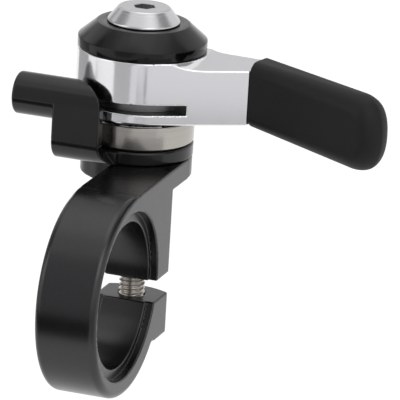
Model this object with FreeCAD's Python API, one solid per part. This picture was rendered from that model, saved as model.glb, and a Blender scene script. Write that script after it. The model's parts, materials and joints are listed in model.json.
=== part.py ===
import FreeCAD, Part
import math
import os

# Bar-mounted gear shifter. Millimetres, +Z up.
# Origin: axis of the handlebar bore, in the middle of the clamp band. +X runs along the bar.
# The lever turns about a vertical pivot behind and above the band.

V = FreeCAD.Vector

# clamp band
BAR_R = 11.1                    # 22.2 mm handlebar
BAND_W = 4.8                    # half width of the band
RING_R = 15.4
RING_EDGE = 1.1                 # rounding of the ring's outer edges
RECESS_R = 12.81                # shallow recess on both side faces
RECESS_DY = -1.24
RECESS_DZ = 0.36
RECESS_DEPTH = 1.28
TOP_Z = 15.3                    # flat top of band and boss
BOSS_THICK = 3.2
BOSS_R = 8.52
BOSS_EDGE = 0.4
PIVOT_X = -3.80
PIVOT_Y = 23.55
LUG_CROWN_R = 8.9
LUG_BACK_Y = 18.1
LUG_BOTTOM_Z = -10.5
GAP_TOP_Z = -0.9
GAP_BOTTOM_Z = -4.1

# clamp screw, M4 socket head from below
SCREW_Y = 13.9
M4_R = 2.0
M4_HEAD_R = 3.45
M4_HEAD_H = 3.5
M4_KEY = 3.0
M4_SOCKET = 2.0                 # depth of the hexagon in the head
M4_CLEAR = 0.15                 # radial, in the half below the gap
SCREW_TOP_Z = 7.0
HEAD_SEAT_Z = -6.8

# fits
SLIDE = 0.05                    # keyed and stacked pieces of one body
RUN = 0.03                      # lever bush on its post, radial
SAFE = 0.3                      # between bodies that pass each other
LOOSE = 0.1                     # hidden spaces inside one body

# lever hub, which the cable stop and the cap follow
HUB_R = 9.86
HUB_Z0 = 22.09
HUB_Z1 = 31.76
HUB_EDGE = 0.3
GROOVE_Z0 = 23.68
GROOVE_Z1 = 25.22
GROOVE_R = 8.0                  # floor of the cable groove
GROOVE_END_DEG = -31.0
GROOVE_SPAN_DEG = 190.0
CABLE_R = 0.8

# cable stop
DISC_R = 8.6
DISC_THICK = 2.1
SHEET = 2.0
STOP_FRONT = HUB_R + SAFE + SHEET   # front face, measured from the pivot
STOP_LEFT = -9.6
STOP_RIGHT = -2.0
BEND_R = 3.4
FOOT_BACK = (-7.4, -4.0)        # corners of the foot on the disc, from the pivot
FOOT_INNER = (1.0, -6.0)
BARREL_R = 3.25
BARREL_OFF = GROOVE_R + CABLE_R + LOOSE   # the cable leaves the groove at a tangent
BARREL_Z = (GROOVE_Z0 + GROOVE_Z1) / 2
BARREL_END = -16.3
MITRE_DEG = 38.0
MITRE_OFF = HUB_R + 0.82
HOUSING_R = 2.6
HOUSING_DEPTH = 8.0

# keyed post and its bolt
KEY_R = 4.4
KEY_FLAT = 3.6
POST_R = 3.5
FLANGE_R = 5.4
FLANGE_THICK = 1.0
BOLT_R = 2.5
BOLT_HEAD_R = 5.54
BOLT_TOP_R = 3.9
BOLT_HEAD_H = 2.32
HEAD_RISE = 0.08                # underside of the head, above the cap
BOLT_RIM = 0.25                 # straight edge below the cone of the head
BOLT_KEY = 3.0
BOLT_SOCKET = 2.0
BOLT_LOW = 2.5                  # lower end, above the underside of the boss

# index mechanism
HOUSE_R = 8.59
HOUSE_H = 3.9
HOUSE_WALL = 0.94
HOUSE_FLOOR = 0.9
HOUSE_CHAMFER = 0.45
PLATE_THICK = 1.0
TRACK_R = 5.6
TRACK_DEPTH = 0.3
TRACK_HALF = 0.85               # half width of the balls' track
SEAT_R = 0.75
SEAT_DEPTH = 0.15               # of each gear's seat, below the track
BALL_R = 1.0
BALL_COUNT = 3
GEARS = 3
STEP_DEG = 29.0
STOP_MARGIN_DEG = 2.0
PIN_R = 0.7
CARRIER_R = 7.35
CARRIER_THICK = 1.1
CARRIER_DROP = 0.5              # underside of the carrier, below the balls' centres
TAB_W = 2.4                     # tabs by which the lever drives the carrier
WASHER_IN_R = 3.8
PRESS_R = 6.85
PRESS_THICK = 0.45
SPRING_IN_R = 4.7
SPRING_OUT_R = 6.6
SPRING_THICK = 0.4

# lever
CAVITY_R = 7.0
CAVITY_H = 1.21
LIP_H = 0.79                    # lip under the hub that closes the gap to the housing
BUSH_R = 4.6
ARM_DEG = 30.0                  # direction of the arm's front face
ARM_LEN = 14.7                  # from the tangent point to the bend
ARM_TOP_Z = 30.45
ARM_TILT = 0.13
RAMP_R = 3.2                    # hollow ramp where the arm meets the hub
RAMP_OUT = 3.1                  # its foot, from the hub
RAMP_IN = 0.2                   # its top, from the hub
RAMP_SINK = 0.2                 # its foot, below the arm's top
RAMP_DEG = 50
BLADE_DEG = -27.0
CUT_LEN = 6.2                   # width of the arm where the grip begins
CUT_DEG = 76.9
BACK_KNEE = (11.65, 4.1)
BACK_ROOT = (8.7, 4.4)
NIPPLE_R = 2.3                  # pocket for the cable's end
NIPPLE_DEG = 19.0               # from the end of the groove
NIPPLE_RISE = 1.2               # top of the pocket, above the groove
LEVER_HOLE_R = 0.6              # cable hole from the groove to the pocket
LEVER_HOLE_LEN = 5.0

# grip
GRIP_T = 5.8
GRIP_START = -4.0               # before the cut that ends it at the arm
GRIP_LEN = 26.5
GRIP_TOP_Z = 32.0
GRIP_BOTTOM_Z = 21.8
GRIP_DROP = 1.7                 # fall of the lower side along the grip
GRIP_END_R = 5.4                # corners of the end, seen from the side
GRIP_EDGE = 2.2
TONGUE_LOW = 1.3                # tongue, from the arm's lower and upper side
TONGUE_HIGH = 1.2
GRIP_WALL = 1.3
TONGUE_LEN = 21.5
TONGUE_START = (0.3, -1.4)      # front and back corner beside the cut
TONGUE_ROOT = (2.4, 0.9)        # depth and half width inside the arm

# cap and washers
CAP_Z0 = 31.82
CAP_RIM_H = 1.5
CAP_TOP_R = 7.1
CAP_TOP_Z = 35.7
CAP_WELL_R = 5.3
WASHER_THICK = 0.4
THRUST_R = 8.0
THRUST_THICK = 0.56
THRUST_GAP = 0.04
POST_TOP_Z = 32.9

# heights that follow
BOSS_Z = TOP_Z - BOSS_THICK
DISC_Z1 = TOP_Z + DISC_THICK
HOUSE_Z1 = DISC_Z1 + HOUSE_H
PLATE_Z0 = DISC_Z1 + HOUSE_FLOOR
PLATE_Z1 = PLATE_Z0 + PLATE_THICK
BALL_Z = PLATE_Z1 - TRACK_DEPTH + SLIDE + BALL_R
CARRIER_Z0 = BALL_Z - CARRIER_DROP
CARRIER_Z1 = CARRIER_Z0 + CARRIER_THICK
PRESS_Z0 = BALL_Z + BALL_R
PRESS_Z1 = PRESS_Z0 + PRESS_THICK
CAVITY_Z = HUB_Z0 + CAVITY_H
THRUST_Z = HUB_Z1 + THRUST_GAP
HEAD_Z = CAP_TOP_Z + HEAD_RISE


def cyl(r, z0, z1, x=PIVOT_X, y=PIVOT_Y):
    return Part.makeCylinder(r, z1 - z0, V(x, y, z0))


def tube(r_in, r_out, z0, z1, x=PIVOT_X, y=PIVOT_Y):
    return cyl(r_out, z0, z1, x, y).cut(cyl(r_in, z0 - 1, z1 + 1, x, y))


def box(x0, x1, y0, y1, z0, z1):
    return Part.makeBox(x1 - x0, y1 - y0, z1 - z0, V(x0, y0, z0))


def xcyl(r, x0, x1, y=0.0, z=0.0):
    return Part.makeCylinder(r, x1 - x0, V(x0, y, z), V(1, 0, 0))


def prism(points, z0, z1):
    wire = Part.makePolygon([V(x, y, z0) for x, y in points + points[:1]])
    return Part.Face(wire).extrude(V(0, 0, z1 - z0))


def turned(points, x=PIVOT_X, y=PIVOT_Y):
    """Solid of revolution about a vertical axis from (radius, height) points."""
    wire = Part.makePolygon([V(x + r, y, z) for r, z in points + points[:1]])
    return Part.Face(wire).revolve(V(x, y, 0), V(0, 0, 1), 360)


def polar(r, deg, x=PIVOT_X, y=PIVOT_Y):
    return (x + r * math.cos(math.radians(deg)), y + r * math.sin(math.radians(deg)))


def hexagon(across, z0, z1, x, y):
    r = across / math.sqrt(3)
    return prism([(x + r * math.cos(math.radians(60 * i)), y + r * math.sin(math.radians(60 * i)))
                  for i in range(6)], z0, z1)


def double_d(r, flat, z0, z1):
    return cyl(r, z0, z1).common(box(PIVOT_X - r, PIVOT_X + r, PIVOT_Y - flat, PIVOT_Y + flat, z0, z1))


def key_hole(z0, z1):
    return double_d(KEY_R + SLIDE, KEY_FLAT + SLIDE, z0 - 1, z1 + 1)


def one(shapes):
    whole = shapes[0]
    for s in shapes[1:]:
        whole = whole.fuse(s)
    return whole.removeSplitter()


def sector(r, z0, z1, deg0, deg1):
    """Wedge of a disc between two directions, as a wide polygon."""
    n = max(2, int(abs(deg1 - deg0) / 15) + 1)
    rim = [polar(r, deg0 + (deg1 - deg0) * i / n) for i in range(n + 1)]
    return prism([(PIVOT_X, PIVOT_Y)] + rim, z0, z1)


def band_ring():
    """Disc of the band about the bar, its rounded edges made of short cones."""
    side = BAND_W - RING_EDGE
    points = [(-BAND_W, 0)]
    for sign in (-1, 1):
        for deg in (0, 45, 90)[::-sign]:
            a = math.radians(deg)
            points.append((sign * (side + RING_EDGE * math.cos(a)),
                           RING_R - RING_EDGE + RING_EDGE * math.sin(a)))
    points.append((BAND_W, 0))
    wire = Part.makePolygon([V(x, 0, z) for x, z in points + points[:1]])
    return Part.Face(wire).revolve(V(0, 0, 0), V(1, 0, 0), 360)


def clamp_band():
    ring = band_ring()
    column = box(-BAND_W, BAND_W, 0, LUG_BACK_Y + 1, LUG_BOTTOM_Z, TOP_Z)
    crown = cyl(LUG_CROWN_R, LUG_BOTTOM_Z, TOP_Z, 0, LUG_BACK_Y - LUG_CROWN_R)
    column = column.common(crown)
    web = box(-BAND_W, BAND_W, LUG_BACK_Y / 2, PIVOT_Y, BOSS_Z, TOP_Z)
    boss = turned([(0, BOSS_Z), (BOSS_R - BOSS_EDGE, BOSS_Z), (BOSS_R, BOSS_Z + BOSS_EDGE), (BOSS_R, TOP_Z),
                   (0, TOP_Z)])
    body = one([ring, column, web, boss])
    body = body.cut(xcyl(BAR_R, -BAND_W - 1, BAND_W + 1))
    for side in (-1, 1):
        x0, x1 = sorted((side * (BAND_W - RECESS_DEPTH), side * (BAND_W + 1)))
        body = body.cut(xcyl(RECESS_R, x0, x1, RECESS_DY, RECESS_DZ))
    body = body.cut(box(-BAND_W - 1, BAND_W + 1, BAR_R / 2, LUG_BACK_Y + 2, GAP_BOTTOM_Z, GAP_TOP_Z))
    # tapped hole above the gap, clearance hole and counterbore below it
    body = body.cut(cyl(M4_R + SLIDE, GAP_TOP_Z - 1, SCREW_TOP_Z + 1, 0, SCREW_Y))
    body = body.cut(cyl(M4_R + M4_CLEAR, LUG_BOTTOM_Z - 1, GAP_BOTTOM_Z + 1, 0, SCREW_Y))
    body = body.cut(cyl(M4_HEAD_R + M4_CLEAR, LUG_BOTTOM_Z - 1, HEAD_SEAT_Z, 0, SCREW_Y))
    # seat of the post from below
    body = body.cut(cyl(FLANGE_R + SLIDE, BOSS_Z - 1, BOSS_Z + FLANGE_THICK))
    return body.cut(key_hole(BOSS_Z, TOP_Z))


def clamp_screw():
    low = HEAD_SEAT_Z - M4_HEAD_H
    head = cyl(M4_HEAD_R, low, HEAD_SEAT_Z, 0, SCREW_Y)
    head = head.cut(hexagon(M4_KEY, low - 1, low + M4_SOCKET, 0, SCREW_Y))
    return one([head, cyl(M4_R, HEAD_SEAT_Z, SCREW_TOP_Z, 0, SCREW_Y)])


def pivot_post():
    flange = cyl(FLANGE_R, BOSS_Z, BOSS_Z + FLANGE_THICK)
    key = double_d(KEY_R, KEY_FLAT, BOSS_Z + FLANGE_THICK, PLATE_Z1)
    stem = cyl(POST_R, PLATE_Z1, POST_TOP_Z)
    return one([flange, key, stem]).cut(cyl(BOLT_R + SLIDE, BOSS_Z - 1, POST_TOP_Z + 1))


def cable_stop():
    px, py = PIVOT_X, PIVOT_Y
    disc = cyl(DISC_R, TOP_Z, DISC_Z1)
    bend_y = py - STOP_FRONT + BEND_R
    left, right = px + STOP_LEFT, px + STOP_RIGHT
    foot = prism([(left, bend_y), (right, bend_y), (px + FOOT_INNER[0], py + FOOT_INNER[1]),
                  (px + FOOT_BACK[0], py + FOOT_BACK[1])], TOP_Z, TOP_Z + SHEET)
    corner = xcyl(BEND_R, left, right, bend_y, TOP_Z + BEND_R)
    corner = corner.cut(xcyl(BEND_R - SHEET, left - 1, right + 1, bend_y, TOP_Z + BEND_R))
    corner = corner.common(box(left, right, py - STOP_FRONT, bend_y, TOP_Z, TOP_Z + BEND_R))
    plate = box(left, right, py - STOP_FRONT, py - STOP_FRONT + SHEET, TOP_Z + BEND_R, BARREL_Z)
    by = py - BARREL_OFF
    barrel = xcyl(BARREL_R, px + BARREL_END, right, by, BARREL_Z)
    # the end beside the hub is cut off at a slant
    a = math.radians(MITRE_DEG)
    nx, ny = -math.sin(a), -math.cos(a)
    base = (px + MITRE_OFF * nx, py + MITRE_OFF * ny)
    tx, ty = math.cos(a), -math.sin(a)
    near = [(base[0] - 20 * tx, base[1] - 20 * ty), (base[0] + 20 * tx, base[1] + 20 * ty)]
    far = [(x - 20 * nx, y - 20 * ny) for x, y in reversed(near)]
    barrel = barrel.cut(prism(near + far, BARREL_Z - BARREL_R - 1, BARREL_Z + BARREL_R + 1))
    body = one([disc, foot, corner, plate, barrel])
    body = body.cut(xcyl(HOUSING_R, px + BARREL_END - 1, px + BARREL_END + HOUSING_DEPTH, by, BARREL_Z))
    body = body.cut(xcyl(CABLE_R, px + BARREL_END - 1, right + 1, by, BARREL_Z))
    return body.cut(key_hole(TOP_Z, DISC_Z1))


def index_housing():
    c = HOUSE_CHAMFER
    body = turned([(0, DISC_Z1), (HOUSE_R - c, DISC_Z1), (HOUSE_R, DISC_Z1 + c), (HOUSE_R, HOUSE_Z1),
                   (0, HOUSE_Z1)])
    body = body.cut(cyl(HOUSE_R - HOUSE_WALL, PLATE_Z0, HOUSE_Z1 + 1))
    body = body.cut(key_hole(DISC_Z1, PLATE_Z0))
    x, y = polar(TRACK_R, pin_deg())
    return body.cut(cyl(PIN_R, DISC_Z1 - 1, HOUSE_Z1, x, y))


def ball_degs():
    return [90.0 + 360.0 / BALL_COUNT * i for i in range(BALL_COUNT)]


def travel():
    return STEP_DEG * (GEARS - 1)


def slot_degs():
    """Arc of the carrier's slot at rest: the pin stands a little inside its forward end."""
    middle = ball_degs()[0] + 180.0 / BALL_COUNT
    half = travel() / 2 + STOP_MARGIN_DEG
    return middle - half, middle + half


def pin_deg():
    return slot_degs()[1] - STOP_MARGIN_DEG


def detent_plate():
    body = cyl(HOUSE_R - HOUSE_WALL - SLIDE, PLATE_Z0, PLATE_Z1)
    floor = PLATE_Z1 - TRACK_DEPTH
    body = body.cut(tube(TRACK_R - TRACK_HALF, TRACK_R + TRACK_HALF, floor, PLATE_Z1))
    for deg in ball_degs():
        for gear in range(GEARS):
            x, y = polar(TRACK_R, deg + STEP_DEG * gear)
            body = body.cut(cyl(SEAT_R, floor - SEAT_DEPTH, PLATE_Z1, x, y))
    body = body.cut(key_hole(PLATE_Z0, PLATE_Z1))
    x, y = polar(TRACK_R, pin_deg())
    return body.cut(cyl(PIN_R, PLATE_Z0 - 1, PLATE_Z1 + 1, x, y))


def stop_pin():
    x, y = polar(TRACK_R, pin_deg())
    return cyl(PIN_R, DISC_Z1 + LOOSE, PRESS_Z0 - 2 * LOOSE, x, y)


def dog_degs():
    return [ball_degs()[0] + 60.0, ball_degs()[0] - 120.0]


def dog(width, r_out, z0, z1, deg):
    tab = box(PIVOT_X + CAVITY_R - LOOSE, PIVOT_X + r_out, PIVOT_Y - width / 2, PIVOT_Y + width / 2, z0, z1)
    tab.rotate(V(PIVOT_X, PIVOT_Y, 0), V(0, 0, 1), deg)
    return tab


def ball_carrier():
    body = tube(WASHER_IN_R, CARRIER_R, CARRIER_Z0, CARRIER_Z1)
    for deg in ball_degs():
        x, y = polar(TRACK_R, deg)
        body = body.cut(cyl(BALL_R + RUN, CARRIER_Z0 - 1, CARRIER_Z1 + 1, x, y))
    # slot for the stop pin
    r = PIN_R + SLIDE
    a, b = slot_degs()
    ring = tube(TRACK_R - r, TRACK_R + r, CARRIER_Z0 - 1, CARRIER_Z1 + 1)
    body = body.cut(ring.common(sector(12, CARRIER_Z0 - 1, CARRIER_Z1 + 1, a, b)))
    for deg in (a, b):
        x, y = polar(TRACK_R, deg)
        body = body.cut(cyl(r, CARRIER_Z0 - 1, CARRIER_Z1 + 1, x, y))
    # two tabs that the lever drives
    tabs = [dog(TAB_W, CARRIER_R, CARRIER_Z0, CAVITY_Z - LOOSE, deg) for deg in dog_degs()]
    return one([body] + tabs)


def detent_ball(deg):
    x, y = polar(TRACK_R, deg)
    return Part.makeSphere(BALL_R, V(x, y, BALL_Z))


def pressure_plate():
    return tube(WASHER_IN_R, PRESS_R, PRESS_Z0, PRESS_Z1)


def disc_spring(z_outer, z_inner):
    """Coned spring washer; its outer edge starts at one height, its inner edge ends at the other."""
    up = SPRING_THICK if z_inner > z_outer else -SPRING_THICK
    return turned([(SPRING_OUT_R, z_outer), (SPRING_OUT_R, z_outer + up), (SPRING_IN_R, z_inner),
                   (SPRING_IN_R, z_inner - up)])


def lever_bush():
    return tube(POST_R + RUN, BUSH_R, CAVITY_Z, HUB_Z1)


def bend_point():
    a = math.radians(ARM_DEG)
    x = PIVOT_X + HUB_R * math.sin(a) + ARM_LEN * math.cos(a)
    y = PIVOT_Y - HUB_R * math.cos(a) + ARM_LEN * math.sin(a)
    return x, y


def blade(s, t):
    """Plan point in the grip's own directions: s along it, t from its front to its back."""
    a = math.radians(BLADE_DEG)
    x, y = bend_point()
    return (x + s * math.cos(a) - t * math.sin(a), y + s * math.sin(a) + t * math.cos(a))


def cut_line():
    """The two ends of the line where the grip begins."""
    a = math.radians(CUT_DEG)
    x, y = bend_point()
    return (x, y), (x + CUT_LEN * math.cos(a), y + CUT_LEN * math.sin(a))


def arm_solid():
    a = math.radians(ARM_DEG)
    tangent = (PIVOT_X + HUB_R * math.sin(a), PIVOT_Y - HUB_R * math.cos(a))
    front, back = cut_line()
    knee = (PIVOT_X + BACK_KNEE[0], PIVOT_Y + BACK_KNEE[1])
    root = (PIVOT_X + BACK_ROOT[0], PIVOT_Y + BACK_ROOT[1])
    outline = [(PIVOT_X, PIVOT_Y), tangent, front, back, knee, root]
    bar = prism(outline, HUB_Z0, HUB_Z1)
    # upper side: a plane that falls toward the front, and a hollow ramp round the hub
    nx, ny = math.sin(a), -math.cos(a)
    edge = V(tangent[0], tangent[1], ARM_TOP_Z)
    along = V(math.cos(a), math.sin(a), 0)
    back_v = V(-nx * 30, -ny * 30, 30 * ARM_TILT)
    p0 = edge - along * 20 - back_v * 0.3
    p1 = edge + along * 40 - back_v * 0.3
    roof = Part.Face(Part.makePolygon([p0, p1, p1 + back_v * 1.4, p0 + back_v * 1.4, p0]))
    below = roof.extrude(V(0, 0, -20))
    foot_r, foot_z = HUB_R + RAMP_OUT, ARM_TOP_Z - RAMP_SINK
    ramp = [(0, HUB_Z0 - 1), (foot_r, HUB_Z0 - 1)]
    for i in range(6):
        b = math.radians(RAMP_DEG * i / 5)
        ramp.append((foot_r - RAMP_R * math.sin(b), foot_z + RAMP_R * (1 - math.cos(b))))
    ramp += [(HUB_R + RAMP_IN, HUB_Z1), (0, HUB_Z1)]
    return one([bar.common(below), bar.common(turned(ramp))])


def tongue_solid():
    w = GRIP_WALL
    front, back = cut_line()
    mid = ((front[0] + back[0]) / 2, (front[1] + back[1]) / 2)
    inner = [blade(TONGUE_START[0], w), blade(TONGUE_LEN, w), blade(TONGUE_LEN, GRIP_T - w),
             blade(TONGUE_START[1], GRIP_T - w)]
    depth, half = TONGUE_ROOT
    root = [(mid[0] - depth, mid[1] + half), (mid[0] - depth, mid[1] - half)]
    return prism(inner + root, HUB_Z0 + TONGUE_LOW, ARM_TOP_Z - TONGUE_HIGH)


def lever():
    hub = cyl(HUB_R, HUB_Z0, HUB_Z1)
    hub = hub.makeChamfer(HUB_EDGE, [e for e in hub.Edges if e.Curve.TypeId == "Part::GeomCircle"])
    lip = cyl(HOUSE_R - HOUSE_WALL - SAFE, HUB_Z0 - LIP_H, HUB_Z0 + 1)
    body = one([hub, lip, arm_solid(), tongue_solid()])
    body = body.cut(cyl(BUSH_R, HUB_Z0 - 1, HUB_Z1 + 1))
    body = body.cut(cyl(CAVITY_R, HUB_Z0 - 1, CAVITY_Z))
    for deg in dog_degs():
        body = body.cut(dog(TAB_W + 2 * SLIDE, CARRIER_R + SLIDE, HUB_Z0 - 1, CAVITY_Z, deg))
    groove = tube(GROOVE_R, HUB_R + 6, GROOVE_Z0, GROOVE_Z1)
    groove = groove.common(sector(30, GROOVE_Z0 - 1, GROOVE_Z1 + 1, GROOVE_END_DEG - GROOVE_SPAN_DEG,
                                  GROOVE_END_DEG))
    body = body.cut(groove)
    # pocket for the cable nipple, open below
    x, y = polar(GROOVE_R + NIPPLE_R, GROOVE_END_DEG + NIPPLE_DEG)
    body = body.cut(cyl(NIPPLE_R, HUB_Z0 - 1, GROOVE_Z1 + NIPPLE_RISE, x, y))
    x0, y0 = polar(GROOVE_R + LEVER_HOLE_R, GROOVE_END_DEG - 1)
    a = math.radians(GROOVE_END_DEG + 90)
    body = body.cut(Part.makeCylinder(LEVER_HOLE_R, LEVER_HOLE_LEN, V(x0, y0, (GROOVE_Z0 + GROOVE_Z1) / 2),
                                      V(math.cos(a), math.sin(a), 0)))
    return body


def along_blade(point):
    """Place of a point along the grip, from its beginning."""
    a = math.radians(BLADE_DEG)
    x, y = bend_point()
    return (point.x - x) * math.cos(a) + (point.y - y) * math.sin(a)


def grip_outer():
    """The grip's side view with its round end, as thick as the grip, all outer edges rounded."""
    fall = GRIP_DROP / GRIP_LEN
    corners = [(GRIP_START, GRIP_BOTTOM_Z - fall * GRIP_START), (GRIP_LEN, GRIP_BOTTOM_Z - GRIP_DROP),
               (GRIP_LEN, GRIP_TOP_Z), (GRIP_START, GRIP_TOP_Z)]
    points = [V(*blade(s, 0), z) for s, z in corners]
    a = math.radians(BLADE_DEG)
    across = V(-math.sin(a), math.cos(a), 0)
    body = Part.Face(Part.makePolygon(points + points[:1])).extrude(across * GRIP_T)
    end = [e for e in body.Edges if along_blade(e.CenterOfMass) > GRIP_LEN - 0.01
           and abs(e.tangentAt(e.FirstParameter).dot(across)) > 0.9]
    body = body.makeFillet(GRIP_END_R, end)
    rim = [e for e in body.Edges if along_blade(e.CenterOfMass) > GRIP_START + 0.01
           and abs(e.tangentAt(e.FirstParameter).dot(across)) < 0.1]
    return body.makeFillet(GRIP_EDGE, rim)


def lever_grip():
    body = grip_outer()
    # the grip begins at a slanted cut
    (x0, y0), (x1, y1) = cut_line()
    dx, dy = (x1 - x0) / CUT_LEN, (y1 - y0) / CUT_LEN
    p = [(x0 - 12 * dx, y0 - 12 * dy), (x0 + 18 * dx, y0 + 18 * dy)]
    off = [(x - 20 * dy, y + 20 * dx) for x, y in reversed(p)]
    body = body.cut(prism(p + off, HUB_Z0 - 6, HUB_Z1 + 6))
    return body.cut(tongue_solid())


def thrust_washer():
    return tube(WASHER_IN_R, THRUST_R, THRUST_Z, THRUST_Z + THRUST_THICK)


def top_cap():
    roof = THRUST_Z + THRUST_THICK
    well = HEAD_Z - WASHER_THICK
    bore = BOLT_R + SLIDE
    return turned([(bore, POST_TOP_Z), (POST_R + LOOSE, POST_TOP_Z), (POST_R + LOOSE, roof),
                   (THRUST_R + 2 * LOOSE, roof), (THRUST_R + 2 * LOOSE, CAP_Z0), (HUB_R, CAP_Z0),
                   (HUB_R, CAP_Z0 + CAP_RIM_H), (CAP_TOP_R, CAP_TOP_Z), (CAP_WELL_R, CAP_TOP_Z),
                   (CAP_WELL_R, well), (bore, well)])


def bolt_washer():
    return tube(BOLT_R + SLIDE, CAP_WELL_R - SLIDE, HEAD_Z - WASHER_THICK, HEAD_Z)


def pivot_bolt():
    top = HEAD_Z + BOLT_HEAD_H
    body = turned([(0, HEAD_Z), (BOLT_HEAD_R, HEAD_Z), (BOLT_HEAD_R, HEAD_Z + BOLT_RIM),
                   (BOLT_TOP_R, top), (0, top)])
    shank = cyl(BOLT_R, BOSS_Z + BOLT_LOW, HEAD_Z)
    return one([body, shank]).cut(hexagon(BOLT_KEY, top - BOLT_SOCKET, top + 1, PIVOT_X, PIVOT_Y))


def pieces():
    parts = {
        "clamp_band": clamp_band(),
        "clamp_screw": clamp_screw(),
        "pivot_post": pivot_post(),
        "cable_stop": cable_stop(),
        "index_housing": index_housing(),
        "detent_plate": detent_plate(),
        "stop_pin": stop_pin(),
        "ball_carrier": ball_carrier(),
        "pressure_plate": pressure_plate(),
        "disc_spring_lower": disc_spring(PRESS_Z1, (PRESS_Z1 + CAVITY_Z) / 2),
        "disc_spring_upper": disc_spring(CAVITY_Z, (PRESS_Z1 + CAVITY_Z) / 2),
        "lever": lever(),
        "lever_bush": lever_bush(),
        "lever_grip": lever_grip(),
        "thrust_washer": thrust_washer(),
        "top_cap": top_cap(),
        "bolt_washer": bolt_washer(),
        "pivot_bolt": pivot_bolt(),
    }
    for i, deg in enumerate(ball_degs()):
        parts["detent_ball_%d" % (i + 1)] = detent_ball(deg)
    return parts


os.makedirs("parts", exist_ok=True)
for name, shape in pieces().items():
    if not shape.isValid() or len(shape.Solids) != 1:
        raise ValueError("%s: valid %s, solids %d" % (name, shape.isValid(), len(shape.Solids)))
    shape.exportStep("parts/%s.step" % name)
    b = shape.BoundBox
    print("%-18s %.0f mm3  x %.2f..%.2f  y %.2f..%.2f  z %.2f..%.2f" % (
        name, shape.Volume, b.XMin, b.XMax, b.YMin, b.YMax, b.ZMin, b.ZMax))
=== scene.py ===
import json
import math

import bmesh
import bpy
import numpy as np
from bpy.props import FloatProperty, FloatVectorProperty, PointerProperty
from mathutils import Matrix, Vector


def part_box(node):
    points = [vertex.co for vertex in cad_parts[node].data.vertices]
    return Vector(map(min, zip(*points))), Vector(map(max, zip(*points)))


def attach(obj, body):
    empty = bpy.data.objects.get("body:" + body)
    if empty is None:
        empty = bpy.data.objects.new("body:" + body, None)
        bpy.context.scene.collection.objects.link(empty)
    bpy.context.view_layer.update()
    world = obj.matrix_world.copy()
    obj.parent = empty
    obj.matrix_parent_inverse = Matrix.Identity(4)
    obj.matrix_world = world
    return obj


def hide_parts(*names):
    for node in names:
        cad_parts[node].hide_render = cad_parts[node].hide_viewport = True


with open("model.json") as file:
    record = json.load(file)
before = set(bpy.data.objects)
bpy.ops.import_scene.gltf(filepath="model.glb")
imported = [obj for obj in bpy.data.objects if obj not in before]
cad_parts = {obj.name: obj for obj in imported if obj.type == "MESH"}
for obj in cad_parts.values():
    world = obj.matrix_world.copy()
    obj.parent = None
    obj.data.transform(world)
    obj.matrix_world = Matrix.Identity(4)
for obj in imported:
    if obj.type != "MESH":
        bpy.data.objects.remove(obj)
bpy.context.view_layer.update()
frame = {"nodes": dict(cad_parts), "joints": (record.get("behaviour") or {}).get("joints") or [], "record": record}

bl_info = {
    "name": "Bar-mounted gear shifter",
    "version": (1, 0, 0),
    "blender": (4, 5, 0),
    "location": "View3D > Sidebar > Shifter",
    "description": "Builds the visible pieces of a bar-mounted gear shifter around its CAD frame",
    "category": "Object",
}

MM = 0.001
COLLECTION = bpy.context.scene.collection

def node_box(name):
    """Lowest and highest corner of a CAD node, in millimetres."""
    return [np.array(corner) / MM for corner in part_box(name)]

def turned(u, v, degrees):
    """A place seen from above, given along and across a direction that points to so many degrees."""
    a = math.radians(degrees)
    return u * math.cos(a) + v * math.sin(a), v * math.cos(a) - u * math.sin(a)

# sizes in millimetres: what meets another piece comes from the frame, and s and t are x and y from the pivot

PIVOT = tuple(v / MM for v in frame["joints"][0]["pos_m"][:2])
MOUNTS = {mount["name"]: mount for mount in frame["record"]["mounts"]}

# broken edges, named for how they are made
FORGED_EDGE = 0.3
SAWN_EDGE = 0.25
TURNED_EDGE = 0.2
BORED_EDGE = 0.18
DRILLED_EDGE = 0.15
INNER_EDGE = 0.1
FINE_EDGE = 0.08
SEAT_EDGE = 0.06
SHARP_EDGE = 0.05

# clamp band
BAR_R = MOUNTS["handlebar"]["dims"]["r_mm"]
BAND_TOP_Z = node_box("cable_stop")[0][2]
BAND_HALF = 4.8
RING_R = 15.4
RIM_EDGE = 1.1
RIM_FADE_Y = 2.5
RIM_FADE_LUG = 1.2
RECESS_R = 12.81
RECESS_AT = (-1.24, 0.36)
RECESS_DEPTH = 1.28
WEB_START_Y = 7.0
BOSS_R = 8.52
BOSS_LOW_Z = node_box("pivot_post")[0][2]
LUG_BACK_Y = 18.1
LUG_CROWN_R = 8.9
LUG_LOW_Z = -10.5
GAP = (-4.1, -0.9)

# post hole, the same in the band and the cable stop
KEY_R = 4.45
KEY_HALF = 3.65
FLANGE_R = 5.45
FLANGE_HEIGHT = 1.0

# clamp screw
SCREW_Y = 13.9
SCREW_HEAD_LOW_Z = node_box("clamp_screw")[0][2]
SCREW_SEAT_Z = -6.8
SCREW_HEAD_R = 3.45
SCREW_HEAD_HOLE_R = 3.6
SCREW_HOLE_R = 2.08
SCREW_HOLE = (-11.5, 7.5)
SCREW_SHANK_R = 1.7
SCREW_SHANK = (-7.0, -5.8)
SCREW_SOCKET_DEPTH = 2.0
SCREW_MESH_STEP = 0.14
THREAD = (-6.0, 6.9)
THREAD_CORE_R = 1.62
THREAD_RIDGE = 0.38
THREAD_SLOPE = 1.15
THREAD_CREST = 0.88
THREAD_SEGMENTS = 48
THREAD_ROWS_PER_TURN = 14
SOCKET_HALF = 1.5

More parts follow.
